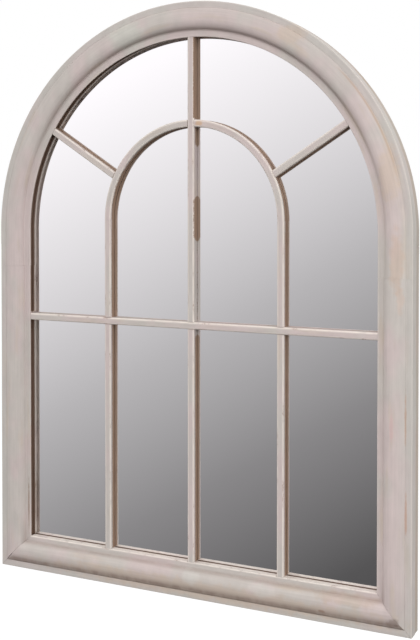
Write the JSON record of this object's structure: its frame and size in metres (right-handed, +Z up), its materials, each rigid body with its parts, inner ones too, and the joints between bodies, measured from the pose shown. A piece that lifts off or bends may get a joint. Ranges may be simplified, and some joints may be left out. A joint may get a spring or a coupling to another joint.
{
  "type": "arched window mirror",
  "caption": "Arched window-style wall mirror: moulded whitewashed wooden frame, glazing bars with an inner arch over a mirror sheet, and loose rings on the back to hang it.",
  "frame": {"origin": "middle of the bottom rail's back face, on the wall plane and on the mirror's centre line", "axes": "+Z up the mirror, -Y out of the glass towards the viewer, +Y into the wall, +X to the viewer's right"},
  "size_m": [0.87, 0.0538, 1.133],
  "materials": {
    "whitewash": "worn whitewash over bare wood, matt",
    "back_wood": "thin grey wash over bare wood, matt",
    "mirror": "clear silvered glass",
    "board": "brown hardboard, matt",
    "zinc": "zinc plated"
  },
  "bodies": {
    "root": {"arch_head": "whitewash", "left_stile": "whitewash", "right_stile": "whitewash", "bottom_rail": "whitewash", "transom_bar": "whitewash", "centre_bar": "whitewash", "left_bar": "whitewash", "right_bar": "whitewash", "inner_arch": "whitewash", "left_spoke": "whitewash", "right_spoke": "whitewash", "back_arch": "back_wood", "back_left_stile": "back_wood", "back_right_stile": "back_wood", "back_bottom_rail": "back_wood", "mirror_sheet": "mirror", "backing_board": "board", "board_clip_01": "zinc", "board_clip_02": "zinc", "board_clip_03": "zinc", "board_clip_04": "zinc", "board_clip_05": "zinc", "board_clip_06": "zinc", "board_clip_07": "zinc", "board_clip_08": "zinc", "board_clip_09": "zinc", "board_clip_10": "zinc", "board_clip_11": "zinc", "clip_screw_01": "zinc", "clip_screw_02": "zinc", "clip_screw_03": "zinc", "clip_screw_04": "zinc", "clip_screw_05": "zinc", "clip_screw_06": "zinc", "clip_screw_07": "zinc", "clip_screw_08": "zinc", "clip_screw_09": "zinc", "clip_screw_10": "zinc", "clip_screw_11": "zinc", "hanger_strap_left": "zinc", "hanger_strap_right": "zinc", "hanger_screw_left_1": "zinc", "hanger_screw_left_2": "zinc", "hanger_screw_right_1": "zinc", "hanger_screw_right_2": "zinc"},
    "ring_left": {"hanger_ring_left": "zinc"},
    "ring_right": {"hanger_ring_right": "zinc"}
  },
  "joints": [
    {"name": "ring_left_swing", "type": "hinge", "parent": "root", "child": "ring_left", "pos_m": [-0.411, 0.00385, 0.62], "axis": [1, 0, 0], "range_deg": [0, 180]},
    {"name": "ring_right_swing", "type": "hinge", "parent": "root", "child": "ring_right", "pos_m": [0.411, 0.00385, 0.62], "axis": [1, 0, 0], "range_deg": [0, 180]}
  ]
}
